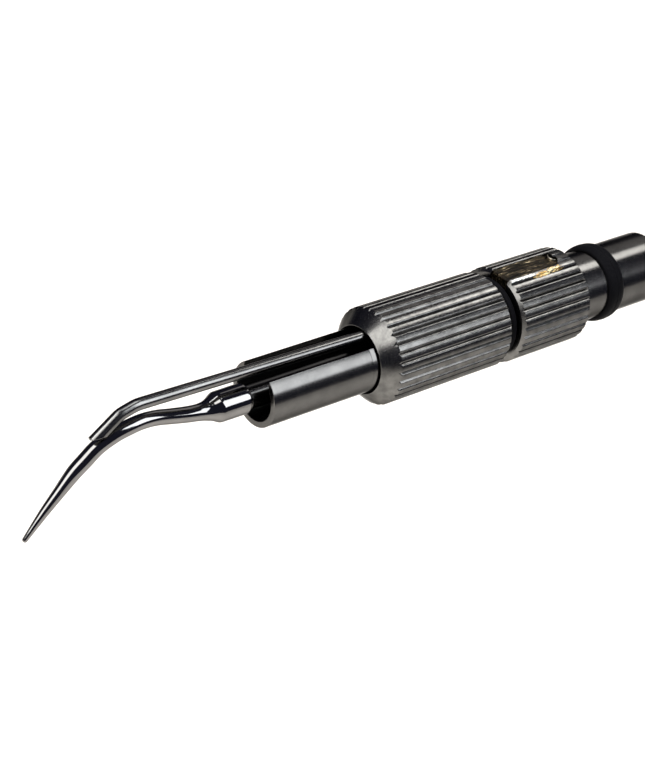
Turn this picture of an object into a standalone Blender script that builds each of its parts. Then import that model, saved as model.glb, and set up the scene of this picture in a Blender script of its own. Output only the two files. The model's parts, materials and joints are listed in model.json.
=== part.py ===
"""Ultrasonic scaler insert with an external water tube.

The insert lies along X: the scaler tip points to -X, the nickel stack to +X,
and the water tube's slot opens to +Z. The origin is on the insert's axis, in
the seat plane, which is the rear face of the rear grip ring.
All sizes below are in millimetres. Radii are "_R", stations along X are "_X".
"""

import math

import bmesh
import bpy
from mathutils import Euler, Matrix, Vector

MM = 0.001
MERGE = 0.000001
PARTS_NAME = "scaler_insert"

# Fits and repeats
RUNNING_GAP = 0.06
RIDGES = 32
GROOVE_DEPTH = 0.24
GROOVE_BAR_R = 0.45
RING_KNURL_TURN = -2.4
BIG_STEPS = 80
SMALL_STEPS = 40

# Rear grip ring, which seats on the handpiece at X = 0
RING_FRONT_X = -11.9
RING_R = 5.976
RING_EDGE_R = 5.45
RING_CHAMFER = 0.55
BRAZE_SLOT_END_X = -2.3
BRAZE_SLOT_WIDTH = 3.2
BRAZE_R = 5.72

# Front collar, a nut with a knurled outside and an inner lip
COLLAR_FRONT_X = -32.6
COLLAR_KNURL_X = -30.8
COLLAR_KNURL_END_X = -13.6
COLLAR_REAR_X = -13.1
COLLAR_R = 5.9
COLLAR_NOSE_R = 4.2
COLLAR_REAR_R = 5.3
COLLAR_BORE_R = 4.11
COLLAR_LIP_X = -29.95
COLLAR_THREAD_R = 4.85

# Thrust washer between the collar's lip and the nose sleeve's flange
WASHER_FRONT_X = -29.9
WASHER_REAR_X = -29.5
WASHER_BORE_R = 4.15
WASHER_R = 4.78

# Nose sleeve
NOSE_FRONT_X = -47.45
NOSE_R = 3.848
NOSE_BORE_R = 3.095
NOSE_FLANGE_X = -29.45
NOSE_FLANGE_END_X = -27.8
NOSE_FLANGE_R = 4.72
NOSE_REAR_X = -24.0
NOSE_SLOT_WIDTH = 4.6
NOSE_SLOT_FLOOR = 0.9

# Barrel: threaded spigot, neck, O-ring groove and rear tube
SPIGOT_FRONT_X = -27.7
SPIGOT_REAR_X = -13.25
THREAD_R = 4.75
NECK_R = 4.40
RUBBER_GROOVE_X = 4.4
RUBBER_GROOVE_END_X = 7.0
RUBBER_GROOVE_R = 3.98
REAR_TUBE_R = 4.466
BARREL_END_X = 15.0
SOCKET_R = 3.95
SOCKET_END_X = -23.7
GUIDE_BORE_R = 2.2
SEAL_BORE_X = -12.0
SEAL_BORE_R = 2.75
CLIP_GROOVE_X = -4.35
CLIP_GROOVE_END_X = -3.55
CLIP_GROOVE_R = 2.92
STACK_BORE_X = -2.4
STACK_BORE_R = 3.4

# Rubber rings on the barrel
COLLAR_SEAL_X = -13.05
COLLAR_SEAL_END_X = -11.95
COLLAR_SEAL_R = 5.15
HANDPIECE_RING_R = 4.95

# Water tube
TUBE_R = 0.685
TUBE_WALL = 0.2
TUBE_SLOT_WIDTH = 1.75
TUBE_INLET_X = -2.9
INLET_POCKET_X = -3.2
INLET_POCKET_END_X = -1.5
TUBE_REAR_Z = 3.64
TUBE_SWEEP_X = (-25.0, -15.0)
TUBE_LEG = (Vector((-63.2, 0.0, 3.935)), Vector((-27.0, 0.0, 3.12)))
TUBE_ELBOW = Vector((-65.25, -0.08, 3.42))
TUBE_NOZZLE = Vector((-68.5, -0.55, 1.43))

# Scaler tip, rear to front: station, height and radius
TIP_SPIGOT_R = 0.9
TIP_SPIGOT_X = -43.5
HUB_REAR_X = -48.8
HUB_FRONT_X = -52.6
HUB_R = 1.775
NECK_DOWN = ((-53.15, 1.52), (-53.7, 1.25), (-54.3, 1.02), (-55.15, 0.92))
TIP_PATH = (
    (-56.5, 0.29, 0.905), (-58.5, 0.76, 0.87), (-60.5, 1.24, 0.86),
    (-62.3, 1.41, 0.865), (-64.0, 1.24, 0.875), (-65.7, 0.85, 0.88),
    (-67.6, -0.02, 0.88), (-69.0, -1.21, 0.875), (-70.35, -2.44, 0.83),
    (-71.95, -4.36, 0.67), (-73.6, -6.35, 0.53), (-75.0, -8.2, 0.38),
    (-75.75, -9.22, 0.30),
)
TIP_END = Vector((-75.95, 0.0, -9.5))

# Connecting body
BODY_FRONT_X = -48.7
BODY_ROD_R = 1.45
BODY_SHAFT_X = -22.0
BODY_SHAFT_R = 1.85
FLANGE_X = -11.7
FLANGE_END_X = -4.6
FLANGE_R = 2.65
INNER_GROOVE_R = 1.9
INNER_GROOVES_X = (-10.9, -6.5)
INNER_GROOVE_WIDTH = 1.1
BODY_REAR_X = 2.9
BODY_REAR_R = 2.6
CLIP_R = 2.86
CLIP_BORE_R = 2.0
CLIP_GAP = 1.6
PIN_X = -8.15
PIN_R = 0.5
PIN_FLOOR_Z = -2.1
PIN_HEAD_Z = -4.33
PIN_SLOT_LENGTH = 1.6

# Nickel stack
STRIPS = 12
STRIP_THICKNESS = 0.28
STRIP_PITCH = 0.36
STRIP_WIDTH = 4.4
STACK_FRONT_X = 3.5
STACK_REAR_X = 74.5
CAP_R = 3.2
FRONT_CAP_END_X = 6.6
REAR_CAP_X = 72.0
REAR_CAP_END_X = 76.3


def clear_scene():
    """Remove whatever the file starts with."""
    for obj in list(bpy.data.objects):
        bpy.data.objects.remove(obj, do_unlink=True)


def new_collection(name):
    collection = bpy.data.collections.new(name)
    bpy.context.scene.collection.children.link(collection)
    return collection


def make_material(name, colour, roughness, metallic):
    material = bpy.data.materials.new(name)
    material.use_nodes = True
    shader = material.node_tree.nodes["Principled BSDF"]
    shader.inputs["Base Color"].default_value = (*colour, 1.0)
    shader.inputs["Roughness"].default_value = roughness
    shader.inputs["Metallic"].default_value = metallic
    return material


FINISHES = {
    "polished": ((0.62, 0.61, 0.60), 0.12, 1.0),
    "satin": ((0.50, 0.50, 0.49), 0.32, 1.0),
    "rubber": ((0.012, 0.012, 0.014), 0.55, 0.0),
    "nickel": ((0.55, 0.52, 0.46), 0.35, 1.0),
    "braze": ((0.52, 0.36, 0.16), 0.35, 1.0),
}


def finish_part(obj, finish):
    """Give a part its own material and put it with the other parts."""
    colour, roughness, metallic = FINISHES[finish]
    obj.data.materials.clear()
    obj.data.materials.append(make_material(obj.name, colour, roughness, metallic))
    parts.objects.link(obj)
    return obj


def as_cutter(obj):
    """Keep a shape as a tool for Boolean cuts only."""
    obj.hide_render = True
    obj.display_type = "WIRE"
    cutters.objects.link(obj)
    return obj


def turned(name, outer, inner=(), steps=BIG_STEPS):
    """A shape turned about X. Both outlines are (station, radius), front to rear."""
    outline = [(radius, station) for station, radius in reversed(outer)]
    if inner:
        outline += [(radius, station) for station, radius in inner]
    else:
        outline = [(0.0, outer[-1][0])] + outline + [(0.0, outer[0][0])]
    mesh = bpy.data.meshes.new(name)
    edges = [(i, i + 1) for i in range(len(outline) - 1)]
    if inner:
        edges.append((len(outline) - 1, 0))
    mesh.from_pydata([(r * MM, 0.0, x * MM) for r, x in outline], edges, [])
    obj = bpy.data.objects.new(name, mesh)
    obj.rotation_euler = Euler((0.0, math.pi / 2, 0.0))
    screw = obj.modifiers.new("turn", "SCREW")
    screw.axis = "Z"
    screw.angle = 2 * math.pi
    screw.steps = steps
    screw.render_steps = steps
    screw.use_merge_vertices = True
    screw.merge_threshold = MERGE
    screw.use_smooth_shade = False
    return obj


def box(name, low, high):
    """A box between two corners."""
    mesh = bpy.data.meshes.new(name)
    low, high = Vector(low) * MM, Vector(high) * MM
    shape = bmesh.new()
    bmesh.ops.create_cube(shape, size=1.0, matrix=Matrix.LocRotScale(
        (low + high) / 2, None, high - low))
    shape.to_mesh(mesh)
    shape.free()
    return bpy.data.objects.new(name, mesh)


def rod(name, start, end, radius, segments=24):
    """A straight round rod between two points."""
    start, end = Vector(start) * MM, Vector(end) * MM
    mesh = bpy.data.meshes.new(name)
    shape = bmesh.new()
    bmesh.ops.create_cone(shape, cap_ends=True, segments=segments, radius1=radius * MM,
                          radius2=radius * MM, depth=(end - start).length)
    shape.to_mesh(mesh)
    shape.free()
    obj = bpy.data.objects.new(name, mesh)
    obj.location = (start + end) / 2
    obj.rotation_euler = (end - start).to_track_quat("Z", "Y").to_euler()
    return obj


def cut(obj, tool, operation="DIFFERENCE"):
    modifier = obj.modifiers.new(operation.lower(), "BOOLEAN")
    modifier.operation = operation
    modifier.object = tool
    modifier.solver = "EXACT"
    return obj


def knurl_cutter(name, radius, front_x, rear_x, turned_by=0.0):
    """A ring of square bars, corner inward, that cuts V grooves along X.

    The first groove is turned_by degrees from +Z towards -Y.
    """
    mesh = bpy.data.meshes.new(name)
    shape = bmesh.new()
    centre = (radius - GROOVE_DEPTH + GROOVE_BAR_R) * MM
    along_x = Matrix.Rotation(math.pi / 2, 4, "Y")
    place = Matrix.Translation(((front_x + rear_x) / 2 * MM, 0.0, centre))
    for ridge in range(RIDGES):
        angle = 2 * math.pi * ridge / RIDGES + math.radians(turned_by)
        turn = Matrix.Rotation(angle, 4, "X")
        bmesh.ops.create_cone(shape, cap_ends=True, segments=4,
                              radius1=GROOVE_BAR_R * MM, radius2=GROOVE_BAR_R * MM,
                              depth=(rear_x - front_x) * MM,
                              matrix=turn @ place @ along_x)
    shape.to_mesh(mesh)
    shape.free()
    return as_cutter(bpy.data.objects.new(name, mesh))


def slot_prism(name, width, front_x, end_x, floor_z, top_z):
    """An upright prism, square at its front and half round at its rear end."""
    half = width / 2
    arc = [(end_x - half + half * math.cos(a), half * math.sin(a))
           for a in (math.radians(-90 + 15 * i) for i in range(13))]
    outline = [(front_x, -half)] + arc + [(front_x, half)]
    curve = bpy.data.curves.new(name, "CURVE")
    curve.dimensions = "2D"
    curve.fill_mode = "BOTH"
    curve.extrude = (top_z - floor_z) / 2 * MM
    spline = curve.splines.new("POLY")
    spline.points.add(len(outline) - 1)
    for point, (x, y) in zip(spline.points, outline):
        point.co = (x * MM, y * MM, 0.0, 1.0)
    spline.use_cyclic_u = True
    guide = bpy.data.objects.new(name + "_outline", curve)
    guide.location.z = (floor_z + top_z) / 2 * MM
    return as_mesh(name, guide)


def as_mesh(name, guide):
    """Turn a curve object into a mesh object with its caps welded on."""
    bpy.context.scene.collection.objects.link(guide)
    depsgraph = bpy.context.evaluated_depsgraph_get()
    mesh = bpy.data.meshes.new_from_object(guide.evaluated_get(depsgraph))
    mesh.name = name
    shape = bmesh.new()
    shape.from_mesh(mesh)
    bmesh.ops.remove_doubles(shape, verts=shape.verts, dist=MERGE)
    bmesh.ops.recalc_face_normals(shape, faces=shape.faces)
    shape.to_mesh(mesh)
    shape.free()
    obj = bpy.data.objects.new(name, mesh)
    obj.matrix_world = guide.matrix_world.copy()
    curve = guide.data
    bpy.data.objects.remove(guide, do_unlink=True)
    bpy.data.curves.remove(curve)
    return obj


def swept(name, points, radius, caps=True, resolution=3):
    """A round bar along (point, radius scale) pairs, given in millimetres."""
    curve = bpy.data.curves.new(name, "CURVE")
    curve.dimensions = "3D"
    curve.bevel_depth = radius * MM
    curve.bevel_resolution = resolution
    curve.use_fill_caps = caps
    curve.twist_mode = "Z_UP"
    spline = curve.splines.new("POLY")
    spline.points.add(len(points) - 1)
    for point, (place, scale) in zip(spline.points, points):
        point.co = (*(place * MM), 1.0)
        point.radius = scale
    return bpy.data.objects.new(name, curve)


def smooth_path(knots, per_span):
    """Points on a Catmull-Rom curve through the knots."""
    ends = [knots[0] * 2 - knots[1]] + list(knots) + [knots[-1] * 2 - knots[-2]]
    path = []
    for i in range(1, len(ends) - 2):
        before, start, end, after = ends[i - 1:i + 3]
        for step in range(per_span):
            t = step / per_span
            path.append(0.5 * (2 * start + (end - before) * t
                               + (2 * before - 5 * start + 4 * end - after) * t ** 2
                               + (3 * start - before - 3 * end + after) * t ** 3))
    return path + [knots[-1]]


def grip_ring():
    """Knurled ring on the barrel; its slot exposes the brazed water tube."""
    outer = [(RING_FRONT_X, RING_EDGE_R), (RING_FRONT_X + RING_CHAMFER, RING_R),
             (-RING_CHAMFER, RING_R), (0.0, RING_EDGE_R)]
    bore = NECK_R + RUNNING_GAP
    ring = turned("rear_grip_ring", outer, [(RING_FRONT_X, bore), (0.0, bore)])
    cut(ring, knurl_cutter("ring_knurl", RING_R, RING_FRONT_X - 1, 1.0,
                           RING_KNURL_TURN))
    slot = slot_prism("ring_slot", BRAZE_SLOT_WIDTH, RING_FRONT_X - 1,
                      BRAZE_SLOT_END_X, NECK_R - 1, RING_R + 1)
    cut(ring, as_cutter(slot))
    return finish_part(ring, "satin")


def braze_fill():
    """Brazing metal that fills the ring's slot over the water tube."""
    floor_r = NECK_R + RUNNING_GAP
    fill = turned("braze_fill", [(RING_FRONT_X, BRAZE_R), (0.0, BRAZE_R)],
                  [(RING_FRONT_X, floor_r), (0.0, floor_r)])
    outline = slot_prism("braze_outline", BRAZE_SLOT_WIDTH - 2 * RUNNING_GAP,
                         RING_FRONT_X - 1, BRAZE_SLOT_END_X - RUNNING_GAP,
                         NECK_R - 1, RING_R + 1)
    cut(fill, as_cutter(outline), "INTERSECT")
    return finish_part(fill, "braze")


def front_collar():
    outer = [(COLLAR_FRONT_X, COLLAR_NOSE_R), (COLLAR_KNURL_X, COLLAR_R),
             (COLLAR_KNURL_END_X, COLLAR_R), (COLLAR_REAR_X, COLLAR_REAR_R)]
    inner = [(COLLAR_FRONT_X, COLLAR_BORE_R), (COLLAR_LIP_X, COLLAR_BORE_R),
             (COLLAR_LIP_X, COLLAR_THREAD_R), (COLLAR_REAR_X, COLLAR_THREAD_R)]
    collar = turned("front_collar", outer, inner)
    cut(collar, knurl_cutter("collar_knurl", COLLAR_R, COLLAR_FRONT_X - 1,
                             COLLAR_REAR_X + 1))
    return finish_part(collar, "satin")


def plain_ring(name, front_x, rear_x, bore_r, outer_r, finish, steps=SMALL_STEPS):
    ring = turned(name, [(front_x, outer_r), (rear_x, outer_r)],
                  [(front_x, bore_r), (rear_x, bore_r)], steps)
    return finish_part(ring, finish)


def rubber_ring(name, front_x, rear_x, bore_r, outer_r, steps=SMALL_STEPS):
    """A rubber ring with a crowned outside, from a quarter-ellipse at each edge."""
    crown = 0.45 * (outer_r - bore_r)
    flank = 0.35 * (rear_x - front_x)
    edge = [(flank * (1 - math.cos(a)), crown * math.sin(a))
            for a in (0.0, math.pi / 4, math.pi / 2)]
    front = [(front_x + along, outer_r - crown + up) for along, up in edge]
    rear = [(rear_x - along, outer_r - crown + up) for along, up in reversed(edge)]
    ring = turned(name, front + rear, [(front_x, bore_r), (rear_x, bore_r)], steps)
    return finish_part(ring, "rubber")


def nose_sleeve():
    """Thin tube round the tip, open along its top, with a clamped flange."""
    outer = [(NOSE_FRONT_X, NOSE_R), (NOSE_FLANGE_X, NOSE_R),
             (NOSE_FLANGE_X, NOSE_FLANGE_R), (NOSE_FLANGE_END_X, NOSE_FLANGE_R),
             (NOSE_FLANGE_END_X, NOSE_R), (NOSE_REAR_X, NOSE_R)]
    inner = [(NOSE_FRONT_X, NOSE_BORE_R), (NOSE_REAR_X, NOSE_BORE_R)]
    sleeve = turned("nose_sleeve", outer, inner)
    half = NOSE_SLOT_WIDTH / 2
    slot = box("nose_slot", (NOSE_FRONT_X - 1, -half, NOSE_SLOT_FLOOR),
               (NOSE_REAR_X + 1, half, NOSE_FLANGE_R + 1))
    cut(sleeve, as_cutter(slot))
    return finish_part(sleeve, "satin")


def barrel():
    """Rear tube that carries the thread, the grip ring and the handpiece seal."""
    outer = [(SPIGOT_FRONT_X, THREAD_R), (SPIGOT_REAR_X, THREAD_R),
             (SPIGOT_REAR_X, NECK_R), (RUBBER_GROOVE_X, NECK_R),
             (RUBBER_GROOVE_X, RUBBER_GROOVE_R), (RUBBER_GROOVE_END_X, RUBBER_GROOVE_R),
             (RUBBER_GROOVE_END_X, REAR_TUBE_R), (BARREL_END_X - 0.3, REAR_TUBE_R),
             (BARREL_END_X, REAR_TUBE_R - 0.3)]
    inner = [(SPIGOT_FRONT_X, SOCKET_R), (SOCKET_END_X, SOCKET_R),
             (SOCKET_END_X, GUIDE_BORE_R), (SEAL_BORE_X, GUIDE_BORE_R),
             (SEAL_BORE_X, SEAL_BORE_R), (CLIP_GROOVE_X, SEAL_BORE_R),
             (CLIP_GROOVE_X, CLIP_GROOVE_R), (CLIP_GROOVE_END_X, CLIP_GROOVE_R),
             (CLIP_GROOVE_END_X, SEAL_BORE_R), (STACK_BORE_X, SEAL_BORE_R),
             (STACK_BORE_X, STACK_BORE_R), (BARREL_END_X, STACK_BORE_R)]
    tube = turned("barrel", outer, inner, steps=64)
    half = TUBE_SLOT_WIDTH / 2
    top = THREAD_R + 1
    seat_z = TUBE_REAR_Z - TUBE_R - RUNNING_GAP / 2
    front_slot = box("spigot_slot", (SPIGOT_FRONT_X - 1, -half, GUIDE_BORE_R - 0.3),
                     (SEAL_BORE_X - 0.5, half, top))
    rear_slot = box("tube_slot", (SEAL_BORE_X - 1.0, -half, seat_z),
                    (INLET_POCKET_X + 0.2, half, top))
    pocket = box("inlet_pocket", (INLET_POCKET_X, -half, seat_z - 1),
                 (INLET_POCKET_END_X, half, top))
    pin_hole = rod("pin_hole", (PIN_X, 0, 0), (PIN_X, 0, -6), PIN_R + RUNNING_GAP)
    for tool in (front_slot, rear_slot, pocket, pin_hole):
        cut(tube, as_cutter(tool))
    return finish_part(tube, "satin")


def water_tube():
    """Thin bent tube from the barrel's inlet to a nozzle on the tip's back."""
    first, last = TUBE_SWEEP_X
    leg_front, leg_rear = TUBE_LEG
    knots = [TUBE_NOZZLE, TUBE_NOZZLE.lerp(TUBE_ELBOW, 0.85)]
    knots += [TUBE_ELBOW.lerp(leg_front, 0.25), TUBE_ELBOW.lerp(leg_front, 0.75)]
    knots += [leg_front.lerp(leg_rear, 0.03)]
    path = [knots[0]] + smooth_path(knots[1:], 2)
    path += [leg_front.lerp(leg_rear, 0.5), leg_rear]
    for step in range(5):
        t = step / 4
        rise = (1 - math.cos(math.pi * t)) / 2
        start_z = leg_rear.z
        path.append(Vector((first + (last - first) * t, 0.0,
                            start_z + (TUBE_REAR_Z - start_z) * rise)))
    path.append(Vector((TUBE_INLET_X, 0.0, TUBE_REAR_Z)))
    bore = swept("water_tube_skin", [(point, 1.0) for point in path], TUBE_R, caps=False)
    tube = as_mesh("water_tube", bore)
    shell = tube.modifiers.new("wall", "SOLIDIFY")
    shell.thickness = TUBE_WALL * MM
    shell.offset = -1.0
    shell.use_even_offset = True
    shell.use_rim = True
    return finish_part(tube, "polished")


def scaler_tip():
    """Hub with a rear spigot, necked down to a curved, tapering working end."""
    flat = [(TIP_SPIGOT_X, TIP_SPIGOT_R), (HUB_REAR_X, TIP_SPIGOT_R),
            (HUB_REAR_X - 0.02, HUB_R - 0.2), (HUB_REAR_X - 0.22, HUB_R),
            (HUB_FRONT_X, HUB_R)] + list(NECK_DOWN)
    points = [(Vector((x, 0.0, 0.0)), radius) for x, radius in flat]
    knots = [Vector((NECK_DOWN[-1][0], 0.0, 0.0))]
    knots += [Vector((x, 0.0, z)) for x, z, _ in TIP_PATH]
    radii = [NECK_DOWN[-1][1]] + [radius for _, _, radius in TIP_PATH]
    for i, place in enumerate(smooth_path(knots, 2)[1:], start=1):
        low = radii[i // 2]
        high = radii[min(i // 2 + i % 2, len(radii) - 1)]
        points.append((place, (low + high) / 2))
    blunt = TIP_PATH[-1][2]
    last = points[-1][0]
    points += [(last.lerp(TIP_END, 0.55), blunt * 0.8), (TIP_END, blunt * 0.35)]
    return finish_part(as_mesh("scaler_tip", swept("tip", points, 1.0)), "polished")


def connecting_body():
    """Solid transformer rod between the tip and the nickel stack."""
    outer = [(BODY_FRONT_X, BODY_ROD_R), (BODY_SHAFT_X - 2, BODY_ROD_R),
             (BODY_SHAFT_X, BODY_SHAFT_R), (FLANGE_X, BODY_SHAFT_R), (FLANGE_X, FLANGE_R)]
    for groove_x in INNER_GROOVES_X:
        groove_end = groove_x + INNER_GROOVE_WIDTH
        outer += [(groove_x, FLANGE_R), (groove_x, INNER_GROOVE_R),
                  (groove_end, INNER_GROOVE_R), (groove_end, FLANGE_R)]
    outer += [(FLANGE_END_X, FLANGE_R), (FLANGE_END_X, BODY_SHAFT_R),
              (STACK_BORE_X + 0.6, BODY_SHAFT_R), (STACK_BORE_X + 1.4, BODY_REAR_R),
              (BODY_REAR_X, BODY_REAR_R)]
    body = turned("connecting_body", outer, steps=SMALL_STEPS)
    bore = rod("spigot_bore", (BODY_FRONT_X - 1, 0, 0), (TIP_SPIGOT_X + 0.3, 0, 0),
               TIP_SPIGOT_R + RUNNING_GAP)
    half = PIN_SLOT_LENGTH / 2
    key = box("pin_slot", (PIN_X - half, -PIN_R - RUNNING_GAP, -FLANGE_R - 1),
              (PIN_X + half, PIN_R + RUNNING_GAP, PIN_FLOOR_Z + 0.2))
    cut(body, as_cutter(bore))
    cut(body, as_cutter(key))
    return finish_part(body, "satin")


def flange_seals():
    """The two rubber rings that hold and seal the connecting body."""
    for name, groove_x in zip(("inner_seal_front", "inner_seal_rear"), INNER_GROOVES_X):
        rubber_ring(name, groove_x + RUNNING_GAP,
                    groove_x + INNER_GROOVE_WIDTH - RUNNING_GAP,
                    INNER_GROOVE_R + RUNNING_GAP, SEAL_BORE_R - RUNNING_GAP / 2)


def retaining_clip():
    """Open spring ring that keeps the flange in its bore."""
    front_x = CLIP_GROOVE_X + RUNNING_GAP
    rear_x = CLIP_GROOVE_END_X - RUNNING_GAP
    clip = turned("retaining_clip", [(front_x, CLIP_R), (rear_x, CLIP_R)],
                  [(front_x, CLIP_BORE_R), (rear_x, CLIP_BORE_R)], SMALL_STEPS)
    gap = box("clip_gap", (front_x - 1, -CLIP_GAP / 2, -CLIP_R - 1),
              (rear_x + 1, CLIP_GAP / 2, 0))
    cut(clip, as_cutter(gap))
    return finish_part(clip, "satin")


def locking_pin():
    """Radial pin that stops the connecting body from turning in the barrel."""
    pin = rod("locking_pin", (PIN_X, 0, PIN_FLOOR_Z), (PIN_X, 0, PIN_HEAD_Z), PIN_R)
    return finish_part(pin, "satin")


def nickel_stack():
    """Thin nickel strips, side by side in Z, each of them its own piece."""
    first_z = -STRIP_PITCH * (STRIPS - 1) / 2
    half_y = STRIP_WIDTH / 2
    half_z = STRIP_THICKNESS / 2
    for index in range(STRIPS):
        z = first_z + index * STRIP_PITCH
        strip = box(f"nickel_strip_{index + 1:02d}", (STACK_FRONT_X, -half_y, z - half_z),
                    (STACK_REAR_X, half_y, z + half_z))
        finish_part(strip, "nickel")


def stack_cap(name, front_x, rear_x, pocket_front_x, pocket_rear_x):
    """Brazed block that joins the strips' ends; they stand in its pocket."""
    chamfer = 0.3
    cap = turned(name, [(front_x, CAP_R - chamfer), (front_x + chamfer, CAP_R),
                        (rear_x - chamfer, CAP_R), (rear_x, CAP_R - chamfer)],
                 steps=SMALL_STEPS)
    half_y = STRIP_WIDTH / 2 + RUNNING_GAP / 2
    half_z = (STRIP_PITCH * (STRIPS - 1) + STRIP_THICKNESS + RUNNING_GAP) / 2
    pocket = box(name + "_pocket", (pocket_front_x, -half_y, -half_z),
                 (pocket_rear_x, half_y, half_z))
    cut(cap, as_cutter(pocket))
    return finish_part(cap, "satin")


clear_scene()
parts = new_collection(PARTS_NAME)
cutters = new_collection(PARTS_NAME + "_cutters")

scaler_tip()
connecting_body()
flange_seals()
nickel_stack()
stack_cap("stack_front_cap", BODY_REAR_X + RUNNING_GAP, FRONT_CAP_END_X,
          STACK_FRONT_X - RUNNING_GAP, FRONT_CAP_END_X + 1)
stack_cap("stack_rear_cap", REAR_CAP_X, REAR_CAP_END_X,
          REAR_CAP_X - 1, STACK_REAR_X + RUNNING_GAP)

barrel()
water_tube()
braze_fill()
grip_ring()
nose_sleeve()
retaining_clip()
locking_pin()
plain_ring("thrust_washer", WASHER_FRONT_X, WASHER_REAR_X, WASHER_BORE_R, WASHER_R,
           "satin")
rubber_ring("collar_seal", COLLAR_SEAL_X, COLLAR_SEAL_END_X, NECK_R + RUNNING_GAP,
            COLLAR_SEAL_R)
rubber_ring("handpiece_seal", RUBBER_GROOVE_X + RUNNING_GAP / 2,
            RUBBER_GROOVE_END_X - RUNNING_GAP / 2, RUBBER_GROOVE_R + RUNNING_GAP,
            HANDPIECE_RING_R, steps=64)
front_collar()
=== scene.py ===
"""Looks of the ultrasonic scaler insert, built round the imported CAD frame.

Everything is in metres in the CAD's frame: the insert lies along X with its tip
towards -X, and its water tube's slot opens to +Z. Lengths below are written in
millimetres and scaled by MM. "Front" is the tip's end.
"""

import json
import math

import bmesh
import bpy
from mathutils import Matrix, Quaternion, Vector, noise


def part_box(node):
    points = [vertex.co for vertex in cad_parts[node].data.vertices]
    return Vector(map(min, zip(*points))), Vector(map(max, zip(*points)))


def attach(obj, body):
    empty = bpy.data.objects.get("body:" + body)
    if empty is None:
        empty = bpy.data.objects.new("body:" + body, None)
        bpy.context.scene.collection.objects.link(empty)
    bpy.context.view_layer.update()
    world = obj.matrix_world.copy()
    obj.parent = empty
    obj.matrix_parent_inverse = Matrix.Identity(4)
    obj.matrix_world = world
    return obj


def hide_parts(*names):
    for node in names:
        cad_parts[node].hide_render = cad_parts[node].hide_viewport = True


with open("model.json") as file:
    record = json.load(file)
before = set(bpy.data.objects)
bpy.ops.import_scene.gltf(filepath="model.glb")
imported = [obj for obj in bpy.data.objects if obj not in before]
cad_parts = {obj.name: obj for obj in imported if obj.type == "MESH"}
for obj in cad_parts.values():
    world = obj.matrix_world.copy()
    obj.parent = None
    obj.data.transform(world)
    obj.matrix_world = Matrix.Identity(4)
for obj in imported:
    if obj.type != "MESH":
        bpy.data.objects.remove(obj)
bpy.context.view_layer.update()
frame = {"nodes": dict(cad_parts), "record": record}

MM = 0.001
ROUND = 192
RIDGES = 32
RIDGE_SAMPLES = 18
RIDGE_DEPTH = 0.22 * MM
RING_KNURL_TURN = math.radians(-2.4)
SOFT_EDGE = 0.06 * MM
PIT_R = 0.72 * MM
PIT_OFFSET = Vector((0.05, 0.22)) * MM


# ---------------------------------------------------------------- camera, stage

def heading(azimuth, elevation):
    """Direction for an azimuth, from -Y towards +X, and an elevation, in degrees."""
    azimuth, elevation = math.radians(azimuth), math.radians(elevation)
    return Vector((math.sin(azimuth) * math.cos(elevation),
                   -math.cos(azimuth) * math.cos(elevation), math.sin(elevation)))


def add_camera():
    """The camera looks down on the insert from its tip's side."""
    back = heading(-43.39, 34.68)
    roll = math.radians(9.43)
    target = Vector((-38.44, -1.16, -1.27)) * MM
    distance = 200 * MM
    data = bpy.data.cameras.new("camera")
    data.lens = 82.35
    data.sensor_width = 36
    data.clip_start = 5 * MM
    data.shift_y = 0.0009
    camera = bpy.data.objects.new("camera", data)
    camera.location = target + back * distance
    turn = (-back).to_track_quat("-Z", "Y") @ Quaternion((0, 0, 1), roll)
    camera.rotation_mode = "QUATERNION"
    camera.rotation_quaternion = turn
    bpy.context.scene.collection.objects.link(camera)
    bpy.context.scene.camera = camera


def add_softbox(name, azimuth, elevation, reach, radiance, colour):
    """A rectangular area light facing the middle of the insert's front half.

    Reach is half the light's angular width and height as seen from there, in
    degrees like the azimuth and the elevation.
    """
    focus = Vector((-30 * MM, 0, 0))
    distance = 0.7
    direction = heading(azimuth, elevation)
    data = bpy.data.lights.new(name, "AREA")
    data.shape = "RECTANGLE"
    data.size, data.size_y = (2 * distance * math.tan(math.radians(a)) for a in reach)
    data.energy = radiance * math.pi * data.size * data.size_y
    data.color = colour
    light = bpy.data.objects.new(name, data)
    light.location = focus + direction * distance
    light.rotation_euler = direction.to_track_quat("Z", "Y").to_euler()
    light.visible_camera = False
    bpy.context.scene.collection.objects.link(light)


def start_material(name):
    material = bpy.data.materials.new(name)
    material.use_nodes = True
    return material, material.node_tree, material.node_tree.nodes["Principled BSDF"]


def stage_material(name, colour, glow):
    material, _, shader = start_material(name)
    shader.inputs["Base Color"].default_value = (*colour, 1)
    shader.inputs["Roughness"].default_value = 1.0
    shader.inputs["Specular IOR Level"].default_value = 0.0
    shader.inputs["Emission Color"].default_value = (*colour, 1)
    shader.inputs["Emission Strength"].default_value = glow
    return material


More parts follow.
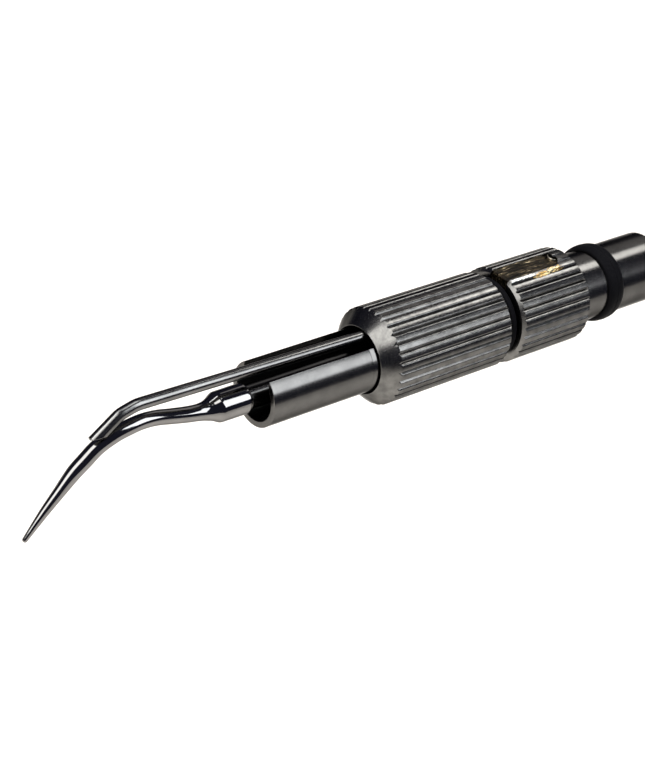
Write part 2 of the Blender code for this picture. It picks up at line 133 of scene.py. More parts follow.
def add_stage():
    """A pale table well below the insert, a pale room and soft studio light.

    The room is there for the camera only, so that the metal mirrors just the
    table, the softboxes and the dark world between them.
    """
    table_drop = 0.3
    bpy.ops.mesh.primitive_plane_add(size=10, location=(0, 3.7, -table_drop))
    floor = bpy.context.object
    floor.name = "floor"
    floor.data.materials.append(stage_material("floor_paper", (0.92, 0.88, 0.825), 0.0))

    bpy.ops.mesh.primitive_uv_sphere_add(radius=5, segments=48, ring_count=24)
    room = bpy.context.object
    room.name = "room"
    room.data.materials.append(stage_material("room_paint", (1.0, 1.0, 1.0), 1.0))
    room.visible_glossy = False
    room.visible_diffuse = False
    room.visible_shadow = False

    sun = bpy.data.lights.new("floor_light", "SUN")
    sun.energy = 3.0
    sun.color = (1.0, 0.99, 0.97)
    sun.angle = math.radians(60)
    sun_object = bpy.data.objects.new("floor_light", sun)
    sun_object.visible_glossy = False
    bpy.context.scene.collection.objects.link(sun_object)

    add_softbox("right_softbox", 32, 39, (13, 20.5), 6.3, (0.94, 0.97, 1.0))
    add_softbox("left_softbox", -88, 43, (19, 31), 5.0, (1.0, 0.99, 0.96))
    add_softbox("small_softbox", 96, 47, (7.5, 7.5), 9.0, (1.0, 0.98, 0.94))
    add_softbox("rear_fill", 126, 32, (14, 11), 0.7, (1.0, 0.96, 0.90))
    add_softbox("back_softbox", -134, 65, (13, 8), 5.5, (1.0, 1.0, 1.0))
    add_softbox("top_softbox", 125, 80, (11, 11), 4.0, (1.0, 1.0, 1.0))

    world = bpy.data.worlds.new("studio")
    world.use_nodes = True
    world.node_tree.nodes["Background"].inputs["Color"].default_value = (0.04, 0.042, 0.07, 1)
    bpy.context.scene.world = world
    bpy.context.scene.view_settings.view_transform = "Standard"


# ------------------------------------------------------------------- materials

def link(tree, source, target):
    tree.links.new(source, target)


def node(tree, kind, **settings):
    """Add a shader node; settings are its properties or its inputs' names."""
    made = tree.nodes.new(kind)
    for key, value in settings.items():
        if hasattr(made, key):
            setattr(made, key, value)
        else:
            made.inputs[key.replace("_", " ")].default_value = value
    return made


def ramp(tree, source, stops):
    """A colour ramp on a factor; stops are (position, colour or grey)."""
    made = tree.nodes.new("ShaderNodeValToRGB")
    elements = made.color_ramp.elements
    while len(elements) < len(stops):
        elements.new(0.5)
    for element, (position, colour) in zip(elements, stops):
        element.position = position
        if isinstance(colour, (int, float)):
            colour = (colour, colour, colour)
        element.color = (*colour, 1)
    link(tree, source, made.inputs["Fac"])
    return made.outputs["Color"]


def stretched_noise(tree, scale, detail=3.0, roughness=0.6):
    """Noise in the frame's coordinates, with its own scale along each axis."""
    coordinates = node(tree, "ShaderNodeTexCoord")
    mapping = node(tree, "ShaderNodeMapping")
    mapping.inputs["Scale"].default_value = scale
    made = node(tree, "ShaderNodeTexNoise", Scale=1.0, Detail=detail, Roughness=roughness)
    link(tree, coordinates.outputs["Object"], mapping.inputs["Vector"])
    link(tree, mapping.outputs["Vector"], made.inputs["Vector"])
    return made.outputs["Fac"]


def add_bump(tree, shader, height, depth, strength=1.0):
    bump = node(tree, "ShaderNodeBump", Strength=strength, Distance=depth)
    link(tree, height, bump.inputs["Height"])
    link(tree, bump.outputs["Normal"], shader.inputs["Normal"])


def metal(name, dark, light, rough_low, rough_high, grain, depth, stains=300.0):
    """Metal with clouds of two colours and a fine grain.

    Grain is the noise's scale along each axis, depth the grain's height and
    stains the clouds' scale.
    """
    material, tree, shader = start_material(name)
    shader.inputs["Metallic"].default_value = 1.0
    shader.inputs["Specular Tint"].default_value = (0.35, 0.35, 0.35, 1)
    clouds = stretched_noise(tree, (stains, stains, stains), 4.0)
    link(tree, ramp(tree, clouds, [(0.3, dark), (0.7, light)]), shader.inputs["Base Color"])
    lines = stretched_noise(tree, grain, 4.0, 0.65)
    link(tree, ramp(tree, lines, [(0.3, rough_low), (0.75, rough_high)]),
         shader.inputs["Roughness"])
    add_bump(tree, shader, lines, depth)
    return material


def rubber_material():
    material, tree, shader = start_material("black_rubber")
    grain = stretched_noise(tree, (9000, 9000, 9000), 3.0)
    link(tree, ramp(tree, grain, [(0.3, (0.0015, 0.0015, 0.002)), (0.7, (0.004, 0.004, 0.005))]),
         shader.inputs["Base Color"])
    link(tree, ramp(tree, grain, [(0.3, 0.50), (0.7, 0.70)]), shader.inputs["Roughness"])
    shader.inputs["Specular IOR Level"].default_value = 0.03
    add_bump(tree, shader, grain, 0.006 * MM, 0.5)
    return material


def braze_material(name, tints, gleam, balance):
    """Brazing metal: heat-tinted streaks along X, broken by brighter ones.

    Tints are a dark and a middle colour, gleam is the bright one, and balance
    is the noise level where the gleam begins.
    """
    material, tree, shader = start_material(name)
    shader.inputs["Metallic"].default_value = 1.0
    streaks = stretched_noise(tree, (500, 3200, 3200), 5.0, 0.7)
    colour = ramp(tree, streaks, [(balance - 0.14, tints[0]), (balance, tints[1]),
                                  (balance + 0.1, gleam)])
    link(tree, colour, shader.inputs["Base Color"])
    grit = stretched_noise(tree, (3500, 9000, 9000), 4.0, 0.7)
    link(tree, ramp(tree, grit, [(0.3, 0.22), (0.75, 0.55)]), shader.inputs["Roughness"])
    add_bump(tree, shader, grit, 0.03 * MM)
    return material


def make_materials():
    """A procedural material for each slot of the record, and three more.

    The three are for a rougher bore darkened with painted shade and for two kinds of brazing
    drops, the silver ones with a painted highlight in their near-white colour.
    """
    return {
        "polished_steel": metal("polished_steel", (0.16, 0.157, 0.155), (0.20, 0.197, 0.195),
                                0.05, 0.10, (900, 5000, 5000), 0.0005 * MM),
        "satin_steel": metal("satin_steel", (0.085, 0.084, 0.082), (0.115, 0.113, 0.11),
                             0.16, 0.25, (26000, 900, 900), 0.0015 * MM),
        "drawn_steel": metal("drawn_steel", (0.11, 0.109, 0.107), (0.15, 0.148, 0.145),
                             0.17, 0.26, (700, 7000, 7000), 0.001 * MM),
        "knurled_steel": metal("knurled_steel", (0.08, 0.079, 0.077), (0.15, 0.148, 0.143),
                               0.16, 0.30, (3500, 9000, 9000), 0.005 * MM, 700.0),
        "nickel": metal("nickel", (0.20, 0.187, 0.165), (0.28, 0.264, 0.236),
                        0.26, 0.42, (500, 16000, 16000), 0.003 * MM),
        "silver_braze": metal("silver_braze", (0.30, 0.27, 0.21), (0.42, 0.39, 0.32),
                              0.28, 0.48, (2500, 2500, 2500), 0.02 * MM),
        "black_rubber": rubber_material(),
        "gold_braze": braze_material("gold_braze", ((0.014, 0.012, 0.008), (0.078, 0.060, 0.036)),
                                     (0.66, 0.55, 0.36), 0.58),
        "bright_gold": braze_material("bright_gold", ((0.06, 0.035, 0.012), (0.60, 0.37, 0.11)),
                                      (1.0, 0.86, 0.52), 0.50),
        # Silver drops whose near-white colour is a painted highlight on the slot's near edge.
        "silver_painted_highlight": braze_material("silver_painted_highlight", ((0.30, 0.28, 0.25), (0.85, 0.84, 0.80)),
                                        (1.0, 1.0, 0.98), 0.42),
        # Rougher bore finish, and a near-black colour that is painted shade inside the sleeve.
        "rough_bore_painted_shade": metal("rough_bore_painted_shade", (0.012, 0.012, 0.013), (0.03, 0.03, 0.03),
                           0.45, 0.60, (900, 5000, 5000), 0.002 * MM),
    }


# ------------------------------------------------------------------ mesh tools

def rounded(outline, radius, steps=3):
    """Replace each corner of a closed (station, radius) outline with a small arc."""
    points = [Vector(p) for p in outline]
    result = []
    for i, corner in enumerate(points):
        before = points[i - 1] - corner
        after = points[(i + 1) % len(points)] - corner
        reach = min(radius, before.length * 0.45, after.length * 0.45)
        start = corner + before.normalized() * reach
        end = corner + after.normalized() * reach
        for step in range(steps + 1):
            t = step / steps
            result.append((start * (1 - t) + corner * t) * (1 - t)
                          + (corner * (1 - t) + end * t) * t)
    return [tuple(p) for p in result]


def finish_mesh(name, shape, sharp=40):
    """Store a bmesh as an object that is smooth but for its sharp edges."""
    bmesh.ops.recalc_face_normals(shape, faces=shape.faces)
    mesh = bpy.data.meshes.new(name)
    shape.to_mesh(mesh)
    shape.free()
    mesh.shade_smooth()
    mesh.set_sharp_from_angle(angle=math.radians(sharp))
    obj = bpy.data.objects.new(name, mesh)
    bpy.context.scene.collection.objects.link(obj)
    return obj


def bridge_rings(shape, rings, closed):
    """Faces between neighbouring rings of vertices; a ring of one is a pole."""
    pairs = list(zip(rings, rings[1:]))
    if closed:
        pairs.append((rings[-1], rings[0]))
    for first, second in pairs:
        count = max(len(first), len(second))
        for i in range(count):
            j = (i + 1) % count
            corners = [first[i % len(first)], first[j % len(first)],
                       second[j % len(second)], second[i % len(second)]]
            unique = list(dict.fromkeys(corners))
            if len(unique) > 2:
                shape.faces.new(unique)


def turned(name, outline, segments=ROUND, relief=None, hollow=True):
    """A body turned about X from an outline of (station, radius) points.

    relief(station, radius, angle) may change a point's radius. A solid body's
    outline starts and ends on the axis.
    """
    shape = bmesh.new()
    rings = []
    for station, radius in outline:
        if radius < 1e-9:
            rings.append([shape.verts.new((station, 0, 0))])
            continue
        ring = []
        for i in range(segments):
            angle = 2 * math.pi * i / segments
            r = relief(station, radius, angle) if relief else radius
            ring.append(shape.verts.new((station, -r * math.sin(angle), r * math.cos(angle))))
        rings.append(ring)
    bridge_rings(shape, rings, closed=hollow)
    return finish_mesh(name, shape)


def swept(name, sections, segments=40, bore=None, across=(0, 1, 0)):
    """A round bar, or a tube with a bore, through (point, radius) sections.

    Across is square to the plane of the bends.
    """
    points = [point for point, _ in sections]
    shape = bmesh.new()
    rings = []
    inner = []
    for i, (point, radius) in enumerate(sections):
        along = (points[min(i + 1, len(points) - 1)] - points[max(i - 1, 0)]).normalized()
        side = Vector(across)
        side = (side - along * side.dot(along)).normalized()
        up = along.cross(side)
        for ring_list, r in ((rings, radius), (inner, bore)):
            if r is None:
                continue
            ring_list.append([shape.verts.new(
                point + (side * math.cos(a) + up * math.sin(a)) * r)
                for a in (2 * math.pi * k / segments for k in range(segments))])
    if bore is None:
        rings.insert(0, [shape.verts.new(points[0])])
        rings.append([shape.verts.new(points[-1])])
        bridge_rings(shape, rings, closed=False)
    else:
        bridge_rings(shape, rings + inner[::-1], closed=True)
    return finish_mesh(name, shape)


def smooth_path(knots, per_span):
    """Catmull-Rom points through knots, which are Vectors of any size."""
    ends = [knots[0] * 2 - knots[1]] + list(knots) + [knots[-1] * 2 - knots[-2]]
    path = []
    for i in range(1, len(ends) - 2):
        before, start, end, after = ends[i - 1:i + 3]
        for step in range(per_span):
            t = step / per_span
            path.append(0.5 * (2 * start + (end - before) * t
                               + (2 * before - 5 * start + 4 * end - after) * t ** 2
                               + (3 * start - before - 3 * end + after) * t ** 3))
    return path + [knots[-1]]


def bend_arc(before, corner, after, reach, steps=8):
    """Points of a smooth bend that replaces a corner within reach of it."""
    start = corner + (before - corner).normalized() * reach
    end = corner + (after - corner).normalized() * reach
    bend = []
    for step in range(steps + 1):
        t = step / steps
        bend.append(start * (1 - t) ** 2 + corner * 2 * t * (1 - t) + end * t ** 2)
    return bend


def cut_box(obj, low, high):
    """Cut a box out of an object for good."""
    bpy.ops.mesh.primitive_cube_add(size=1)
    tool = bpy.context.object
    low, high = Vector(low), Vector(high)
    tool.matrix_world = Matrix.LocRotScale((low + high) / 2, None, high - low)
    cut_with(obj, tool)


def cut_with(obj, tool):
    modifier = obj.modifiers.new("cut", "BOOLEAN")
    modifier.operation = "DIFFERENCE"
    modifier.solver = "EXACT"
    modifier.object = tool
    bpy.context.view_layer.objects.active = obj
    bpy.ops.object.modifier_apply(modifier=modifier.name)
    bpy.data.objects.remove(tool, do_unlink=True)
    obj.data.shade_smooth()
    obj.data.set_sharp_from_angle(angle=math.radians(35))


def soften_edges(obj, width, limit=40):
    """A small bevel on the edges that are sharper than limit degrees."""
    bevel = obj.modifiers.new("soft_edges", "BEVEL")
    bevel.width = width
    bevel.segments = 2
    bevel.limit_method = "ANGLE"
    bevel.angle_limit = math.radians(limit)
    bevel.harden_normals = False


def place(obj, body, slot_name, *nodes, material=None):
    """Ride on a body, take its slot's or another material, stand for CAD nodes."""
    obj.data.materials.clear()
    obj.data.materials.append(materials[material or slot_name])
    even = obj.modifiers.new("even_shading", "WEIGHTED_NORMAL")
    even.keep_sharp = True
    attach(obj, body)
    if nodes:
        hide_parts(*nodes)
    return obj


def span(name):
    """(front station, rear station, largest radius) of a CAD node."""
    low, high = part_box(name)
    return low[0], high[0], max(high[1], -low[1])


# ---------------------------------------------------------------------- pieces

def knurl(radius, angle, turned_by=0.0):
    """Radius of a straight knurl at an angle: broad ridges, narrow grooves.

    The phase runs from -0.5 to 0.5 across a ridge, from groove to groove.
    """
    phase = ((angle - turned_by) / (2 * math.pi) * RIDGES) % 1.0 - 0.5
    land = 0.31
    flank = min(1.0, max(0.0, (abs(phase) - land) / (0.5 - land)))
    crown = 0.16 * (phase / 0.5) ** 2
    return radius - RIDGE_DEPTH * (crown + (1 - crown) * flank ** 1.2)


def knurled(name, radius, outline, turned_by=0.0):
    """A turned piece whose outside is knurled wherever the outline allows."""
    def relief(station, r, angle):
        if r < radius - 1.3 * RIDGE_DEPTH:
            return r
        return min(r, knurl(radius, angle, turned_by))
    return turned(name, outline, RIDGES * RIDGE_SAMPLES, relief)


def chamfer_stations(start, end, steps=10):
    """Points along a chamfer, so that the ridges' ends stay crisp."""
    return [tuple(Vector(start).lerp(Vector(end), i / steps)) for i in range(steps + 1)]


def build_collar():
    """The knurled screw collar, with its lip in front and its thread's room behind."""
    front, rear, radius = span("front_collar")
    nose = 4.2 * MM
    bore = 4.11 * MM
    thread = 4.85 * MM
    lip = 2.65 * MM
    knurl_front = front + 1.8 * MM
    knurl_rear = rear - 0.65 * MM
    outline = [(front, nose - 0.04 * MM)]
    outline += chamfer_stations((front + 0.03 * MM, nose), (knurl_front, radius), 16)
    outline += chamfer_stations((knurl_rear, radius), (rear, radius - 0.55 * MM), 12)
    outline += [(rear, thread), (front + lip, thread), (front + lip, bore), (front, bore)]
    collar = knurled("collar_knurled", radius, outline)
    place(collar, "collar", "knurled_steel", "front_collar")


def slot_tool(name, low_x, end_x, half, low_z, high_z):
    """An upright cutter, square in front and half round at its rear end."""
    shape = bmesh.new()
    corners = [(low_x, half), (low_x, -half)] + [
        (end_x - half + half * math.cos(a), half * math.sin(a))
        for a in (math.radians(-90 + 7.5 * i) for i in range(25))]
    base = [shape.verts.new((x, y, low_z)) for x, y in corners]
    face = shape.faces.new(base)
    grown = bmesh.ops.extrude_face_region(shape, geom=[face])
    top = [v for v in grown["geom"] if isinstance(v, bmesh.types.BMVert)]
    bmesh.ops.translate(shape, verts=top, vec=(0, 0, high_z - low_z))
    return finish_mesh(name, shape)


def build_grip_ring():
    """The second knurled ring, its slot open towards the front."""
    front, rear, radius = span("rear_grip_ring")
    front += 0.25 * MM
    bore = 4.46 * MM
    edge = radius - 0.53 * MM
    front_chamfer, rear_chamfer = 0.32 * MM, 0.55 * MM
    outline = chamfer_stations((front, edge), (front + front_chamfer, radius), 12)
    outline += chamfer_stations((rear - rear_chamfer, radius), (rear, edge), 12)
    outline += [(rear, bore), (front, bore)]
    ring = knurled("grip_ring_knurled", radius, outline, RING_KNURL_TURN)
    half = 1.42 * MM
    cut_with(ring, slot_tool("ring_slot", front - MM, rear - 2.3 * MM, half,
                             bore - MM, radius + MM))
    place(ring, "barrel", "knurled_steel", "rear_grip_ring")


def braze_height(x, y, end, half):
    """Radius of the braze's top: hollow across, streaked along X, with a pit.

    The pit is at the rear end and has a raised rim that bulges forward.
    """
    middle, edge_rise, highest = 5.52 * MM, 0.30 * MM, 5.88 * MM
    streaks, lumps = 0.07 * MM, 0.06 * MM
    rim_rise, rim_width, pit_depth = 0.25 * MM, 0.15 * MM, 0.55 * MM
    level = middle + edge_rise * (abs(y) / half) ** 3
    level += streaks * noise.noise(Vector((x * 350, y * 2600, 3.1)))
    level += lumps * noise.noise(Vector((x * 1100, y * 1400, 7.7)))
    distance = (Vector((x, y)) - Vector((end, 0)) - PIT_OFFSET).length
    level += rim_rise * math.exp(-((distance - PIT_R) / rim_width) ** 2)
    if distance < PIT_R:
        level -= pit_depth * min(1.0, (1 - distance / PIT_R) * 2.5)
    return min(level, highest)


def build_braze():
    """The brazing metal in the grip ring's slot, as a lumpy closed solid."""
    low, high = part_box("braze_fill")
    recess = 0.5 * MM
    front, end = low[0] + recess, high[0]
    half = high[1]
    floor = 4.5 * MM
    columns, rows = 120, 40
    shape = bmesh.new()
    grid = []
    for i in range(columns + 1):
        x = front + (end - front) * i / columns
        past = max(0.0, x - (end - half))
        width = math.sqrt(max(half ** 2 - past ** 2, (0.02 * MM) ** 2))
        line = []
        for j in range(rows + 1):
            y = width * (2 * j / rows - 1)
            radius = braze_height(x, y, end, half)
            line.append((shape.verts.new((x, y, math.sqrt(radius ** 2 - y ** 2))),
                         shape.verts.new((x, y, math.sqrt(floor ** 2 - y ** 2)))))
        grid.append(line)
    for i in range(columns):
        for j in range(rows):
            for side in (0, 1):
                shape.faces.new((grid[i][j][side], grid[i + 1][j][side],
                                 grid[i + 1][j + 1][side], grid[i][j + 1][side]))
        for j in (0, rows):
            shape.faces.new((grid[i][j][0], grid[i + 1][j][0],
                             grid[i + 1][j][1], grid[i][j][1]))
    for line in (grid[0], grid[-1]):
        for j in range(rows):
            shape.faces.new((line[j][0], line[j + 1][0], line[j + 1][1], line[j][1]))
    fill = finish_mesh("braze_in_slot", shape, 60)
    place(fill, "barrel", "gold_braze", "braze_fill")


def build_spill(name, material, stations, angles, path, fullness):
    """Bright drops of brazing metal that ran over the ridges beside the slot.

    Stations are its front and rear end, angles its sides in degrees, and path
    says where across it (0 to 1) the middle of the drops lies at either end.
    More fullness leaves fewer gaps.
    """
    radius = span("rear_grip_ring")[2]
    columns, rows = 110, 90
    low_angle, high_angle = (math.radians(a) for a in angles)
    lift, sink = 0.035 * MM, 0.12 * MM
    half_band, threshold = 0.42, 0.35
    shape = bmesh.new()
    grid = []
    for i in range(columns + 1):
        u = i / columns
        x = stations[0] + (stations[1] - stations[0]) * u
        line = []
        for j in range(rows + 1):
            v = j / rows
            angle = low_angle + (high_angle - low_angle) * v
            centre = path[0] + (path[1] - path[0]) * u
            band = 1 - ((v - centre) / half_band) ** 2
            ends = min(1.0, 5 * u, 6 * (1 - u))
            speckle = noise.noise(Vector((x * 2600, v * 9.0, 1.7)))
            speckle += 0.6 * noise.noise(Vector((x * 6500, v * 16.0, 5.2)))
            cover = band * ends - threshold + fullness + 1.1 * speckle
            cover = min(1.0, max(0.0, cover * 3))
            r = knurl(radius, angle, RING_KNURL_TURN) - sink + (sink + lift) * cover
            line.append(shape.verts.new((x, -r * math.sin(angle), r * math.cos(angle))))
        grid.append(line)
    for i in range(columns):
        for j in range(rows):
            shape.faces.new((grid[i][j], grid[i + 1][j], grid[i + 1][j + 1], grid[i][j + 1]))
    spill = finish_mesh(name, shape, 70)
    thick = spill.modifiers.new("thickness", "SOLIDIFY")
    thick.thickness = 0.05 * MM
    thick.offset = -1
    place(spill, "barrel", "gold_braze", material=material)


def build_spills():
    """Gold drops on the rear half of the slot's near edge, silver ones before, whose near-white
    colour is a painted highlight.
    """
    front, rear, _ = span("rear_grip_ring")
    build_spill("braze_spill", "bright_gold", (rear - 8.0 * MM, rear - 2.5 * MM),
                (14.0, 25.0), (0.55, 0.20), -0.08)
    # The silver drops' near-white colour is a painted highlight along the slot's near edge.
    build_spill("silver_spill_painted_highlight", "silver_painted_highlight", (front + 0.6 * MM, rear - 7.2 * MM),
                (14.6, 18.4), (0.5, 0.5), 0.42)


def build_pit_rim():
    """The bright lip of brazing metal round the front of the pit."""
    _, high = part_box("braze_fill")
    height, thickness = 5.80 * MM, 0.075 * MM
    centre = Vector((high[0] + PIT_OFFSET.x, PIT_OFFSET.y, height))
    sections = []
    for step in range(17):
        a = math.radians(118 + 8 * step)
        taper = math.sin(math.pi * (step + 1) / 18) ** 0.5
        sections.append((centre + Vector((math.cos(a), math.sin(a), 0)) * PIT_R,
                         thickness * taper))
    rim = swept("braze_pit_rim", sections, 16, across=(0, 0, 1))
    place(rim, "barrel", "silver_braze")


def build_nose_sleeve():
    """The slotted sleeve, with a turned scratch on its outside and a rougher bore darkened with
    painted shade.
    """
    front, rear, flange = span("nose_sleeve")
    outer, bore = 3.848 * MM, 3.095 * MM
    flange_front, flange_rear = rear - 5.45 * MM, rear - 3.8 * MM
    scratch = front + 14.05 * MM
    fine = 0.02 * MM
    outline = [(front, outer), (scratch - fine, outer), (scratch, outer - fine),
               (scratch + fine, outer), (flange_front, outer), (flange_front, flange),
               (flange_rear, flange), (flange_rear, outer), (rear, outer),
               (rear, bore), (front, bore)]
    sleeve = turned("nose_sleeve_turned", rounded(outline, SOFT_EDGE))
    half, slot_floor = 2.3 * MM, 0.9 * MM
    cut_box(sleeve, (front - MM, -half, slot_floor), (rear + MM, half, flange + MM))
    soften_edges(sleeve, 0.09 * MM)
    place(sleeve, "barrel", "satin_steel", "nose_sleeve")
    # The bore's faces take the near-black material: painted shade inside the sleeve.
    sleeve.data.materials.append(materials["rough_bore_painted_shade"])
    for face in sleeve.data.polygons:
        if math.hypot(face.center.y, face.center.z) < bore + SOFT_EDGE:
            face.material_index = 1


def build_barrel():
    """Barrel with its real thread on the spigot, and the tube's slot on top.

    Its bore widens in steps, for the shaft, its flange and the stack's cap, and
    in front for the nose sleeve.
    """
    front, rear, _ = span("barrel")
    major, neck, rear_tube = 4.75 * MM, 4.40 * MM, 4.466 * MM
    pitch, thread_depth = 0.5 * MM, 0.28 * MM
    spigot_rear = -13.25 * MM
    groove_front, groove_rear, groove = 4.4 * MM, 7.0 * MM, 3.98 * MM
    thread_start, thread_end = front + 0.4 * MM, spigot_rear - 0.5 * MM
    steps = int((thread_end - thread_start) / (pitch / 8))
    outline = [(front, major - 0.3 * MM)]
    outline += [(thread_start + (thread_end - thread_start) * i / steps, major)
                for i in range(steps + 1)]
    outline += [(spigot_rear, major - 0.25 * MM), (spigot_rear, neck)]
    outline += rounded([(groove_front, neck), (groove_front, groove),
                        (groove_rear, groove), (groove_rear, rear_tube)], SOFT_EDGE)
    outline += [(rear - 0.3 * MM, rear_tube), (rear, rear_tube - 0.3 * MM)]
    cap_room, flange_room, shaft_room, sleeve_room = (r * MM for r in (3.4, 2.75, 2.2, 3.95))
    cap_room_front, flange_room_front = -2.4 * MM, -12.0 * MM
    shaft_room_front = -23.7 * MM
    outline += [(rear, cap_room), (cap_room_front, cap_room), (cap_room_front, flange_room),
                (flange_room_front, flange_room), (flange_room_front, shaft_room),
                (shaft_room_front, shaft_room), (shaft_room_front, sleeve_room),
                (front, sleeve_room)]

    def relief(station, radius, angle):
        if radius < major or not thread_start <= station <= thread_end:
            return radius
        turn = (station / pitch - angle / (2 * math.pi)) % 1.0
        return radius - thread_depth * (1 - abs(2 * turn - 1))

    barrel = turned("barrel_turned", outline, 128, relief)
    half, top = 0.875 * MM, major + MM
    slot_lengths = [(front - MM, -12.5 * MM, 1.9 * MM),
                    (-13.0 * MM, -3.0 * MM, 2.925 * MM),
                    (-3.2 * MM, -1.5 * MM, 1.925 * MM)]
    for low_x, high_x, slot_floor in slot_lengths:
        cut_box(barrel, (low_x, -half, slot_floor), (high_x, half, top))
    place(barrel, "barrel", "satin_steel", "barrel")


def build_seal(name, cad_node, bore, crown):
    """A rubber ring with a fine moulding line; crown is its outside's roundness."""
    front, rear, radius = span(cad_node)
    height = (radius - bore) * crown
    flank = (rear - front) * 0.36
    arc = [math.radians(a) for a in range(0, 91, 10)]
    outline = [(front + flank * (1 - math.cos(a)), radius - height + height * math.sin(a))
               for a in arc]
    middle = (front + rear) / 2
    line = 0.03 * MM
    outline += [(middle - line, radius), (middle, radius + line), (middle + line, radius)]
    outline += [(rear - flank * (1 - math.cos(a)), radius - height + height * math.sin(a))
                for a in reversed(arc)]
    outline += [(rear, bore), (front, bore)]
    place(turned(name, outline), "barrel", "black_rubber", cad_node)


def build_tip():
    """The polished tip: hub, necked shank and the curved tapering end.

    The hub's points are (station, radius) and the bend's (x, z, radius), all in
    millimetres. A quarter circle in small steps closes the blunt end.
    """
    hub = [(-43.5, 0.9), (-48.78, 0.9), (-48.8, 1.52), (-48.84, 1.6), (-49.02, 1.775),
           (-49.3, 1.79), (-52.2, 1.77), (-52.5, 1.755), (-52.62, 1.72), (-52.8, 1.63)]
    bend = [(-53.0, 0.0, 1.52), (-53.35, 0.0, 1.34), (-53.75, 0.005, 1.19),
            (-54.2, 0.04, 1.07), (-54.7, 0.09, 0.99), (-55.3, 0.17, 0.94),
            (-56.5, 0.38, 0.905), (-58.5, 0.84, 0.87),
            (-60.5, 1.31, 0.86), (-62.3, 1.45, 0.865), (-64.0, 1.25, 0.875),
            (-65.7, 0.85, 0.88), (-67.6, -0.02, 0.88), (-69.0, -1.21, 0.875),
            (-70.35, -2.44, 0.83), (-71.95, -4.36, 0.67), (-73.6, -6.35, 0.53),
            (-75.0, -8.2, 0.385), (-75.78, -9.26, 0.305)]
    sections = [(Vector((x, 0, 0)) * MM, r * MM) for x, r in hub]
    for knot in smooth_path([Vector(b) for b in bend], 8):
        sections.append((Vector((knot[0], 0, knot[1])) * MM, knot[2] * MM))
    last, blunt = sections[-1]
    ahead = (last - sections[-4][0]).normalized()
    for step in range(1, 7):
        a = math.radians(15 * step - 2)
        sections.append((last + ahead * blunt * math.sin(a), blunt * math.cos(a)))
    tip = swept("scaler_tip_polished", sections, 64)
    place(tip, "vibrator", "polished_steel", "scaler_tip")


def slant_mouth(tube, mouth, along, lip, radius, depth):
    """Slide a tube's end back along itself on the side called its lip.

    The share across the tube that is farthest from the lip stays square.
    """
    tolerance = 0.01 * MM
    square_share = 0.35
    for vertex in tube.data.vertices:
        offset = vertex.co - mouth
        if abs(offset.dot(along)) < tolerance:
            share = (1 + offset.dot(lip) / radius) / 2
            vertex.co += along * depth * max(0.0, share - square_share)


def build_water_tube():
    """The bent tube, open at both ends, with its hand-made double elbow.

    Its path is in millimetres: nozzle, elbow, the long leg and a gentle sweep up.
    """
    nozzle = Vector((-68.62, -0.57, 1.36))
    elbow = Vector((-65.25, -0.08, 3.42))
    leg_front, leg_rear = Vector((-63.2, 0, 3.935)), Vector((-27.0, 0, 3.12))
    rear_z, sweep = 3.64, (-25.0, -15.0)
    path = [nozzle, nozzle.lerp(elbow, 0.45)]
    path += bend_arc(nozzle, elbow, leg_front, 0.5)
    path += bend_arc(elbow, leg_front, leg_rear, 0.6)
    path += [leg_front.lerp(leg_rear, t) for t in (0.06, 0.2, 0.4, 0.6, 0.8, 1.0)]
    for step in range(1, 13):
        t = step / 12
        rise = (1 - math.cos(math.pi * t)) / 2
        path.append(Vector((sweep[0] + (sweep[1] - sweep[0]) * t, 0,
                            leg_rear.z + (rear_z - leg_rear.z) * rise)))
    path.append(Vector((-2.9, 0, rear_z)))
    radius = 0.685 * MM
    sections = [(p * MM, radius) for p in path]
    tube = swept("water_tube_polished", sections, 48, bore=0.46 * MM)
    near_lower_lip = Vector((0.468, -0.644, -0.605))
    slant_mouth(tube, nozzle * MM, (elbow - nozzle).normalized(), near_lower_lip,
                radius, 2.3 * MM)
    soften_edges(tube, 0.03 * MM, 50)
    place(tube, "barrel", "drawn_steel", "water_tube")


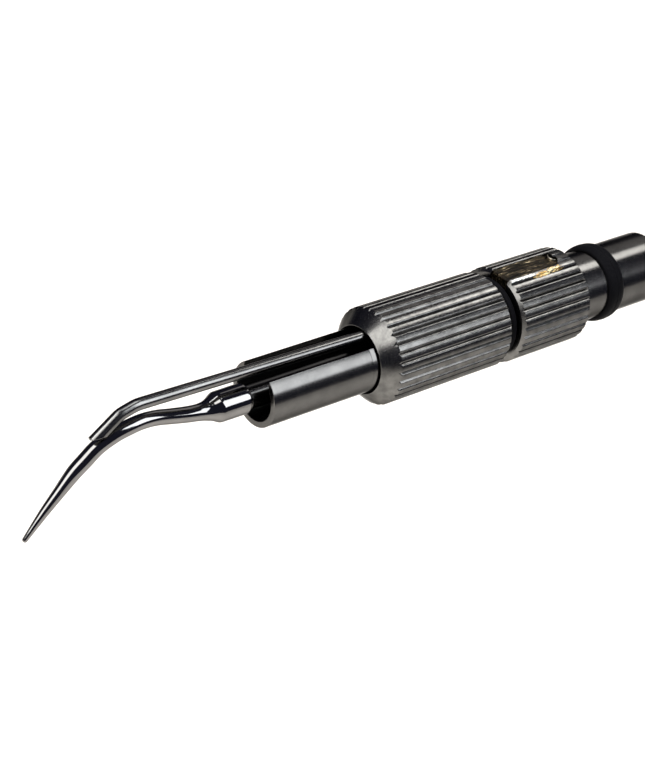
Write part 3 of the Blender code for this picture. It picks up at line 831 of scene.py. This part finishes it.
def build_connecting_body():
    """The transformer rod; only its front end shows in the sleeve's mouth."""
    front, rear, flange = span("connecting_body")
    rod, shaft, groove, tail = (r * MM for r in (1.45, 1.85, 1.9, 2.6))
    socket, socket_end = 0.96 * MM, -43.2 * MM
    edge, groove_width = 0.1 * MM, 1.1 * MM
    flange_front, flange_rear = -11.7 * MM, -4.6 * MM
    outline = [(socket_end, 0.0), (socket_end, socket), (front, socket),
               (front, rod - edge), (front + edge, rod), (-24.0 * MM, rod),
               (-22.0 * MM, shaft), (flange_front, shaft), (flange_front, flange)]
    for groove_x in (-10.9 * MM, -6.5 * MM):
        groove_end = groove_x + groove_width
        outline += [(groove_x, flange), (groove_x, groove), (groove_end, groove),
                    (groove_end, flange)]
    outline += [(flange_rear, flange), (flange_rear, shaft), (-1.8 * MM, shaft),
                (-1.0 * MM, tail), (rear, tail), (rear, 0.0)]
    body = turned("connecting_body_turned", outline, 96, hollow=False)
    pin_slot_low = Vector((-8.95, -0.56, -3.7)) * MM
    pin_slot_high = Vector((-7.35, 0.56, -1.9)) * MM
    cut_box(body, pin_slot_low, pin_slot_high)
    place(body, "vibrator", "satin_steel", "connecting_body")


def round_caps():
    """Soft fillets of brazing metal on the two caps of the stack."""
    for name in ("stack_front_cap", "stack_rear_cap"):
        soften_edges(frame["nodes"][name], 0.12 * MM, 30)


def dress_cad_nodes():
    """Every CAD node takes its slot's material, and the strips lose their sharpness."""
    for part in frame["record"]["subparts"]:
        obj = frame["nodes"][part["node"]]
        obj.data.materials.clear()
        obj.data.materials.append(materials[part["material_slot"]])
        if part["node"].startswith("nickel_strip"):
            soften_edges(obj, 0.03 * MM, 60)


materials = make_materials()
add_camera()
add_stage()
dress_cad_nodes()
build_tip()
build_connecting_body()
build_barrel()
build_water_tube()
build_nose_sleeve()
build_collar()
build_grip_ring()
build_braze()
build_spills()
build_pit_rim()
build_seal("collar_seal_rubber", "collar_seal", 4.46 * MM, 0.7)
build_seal("handpiece_seal_rubber", "handpiece_seal", 4.04 * MM, 0.45)
round_caps()
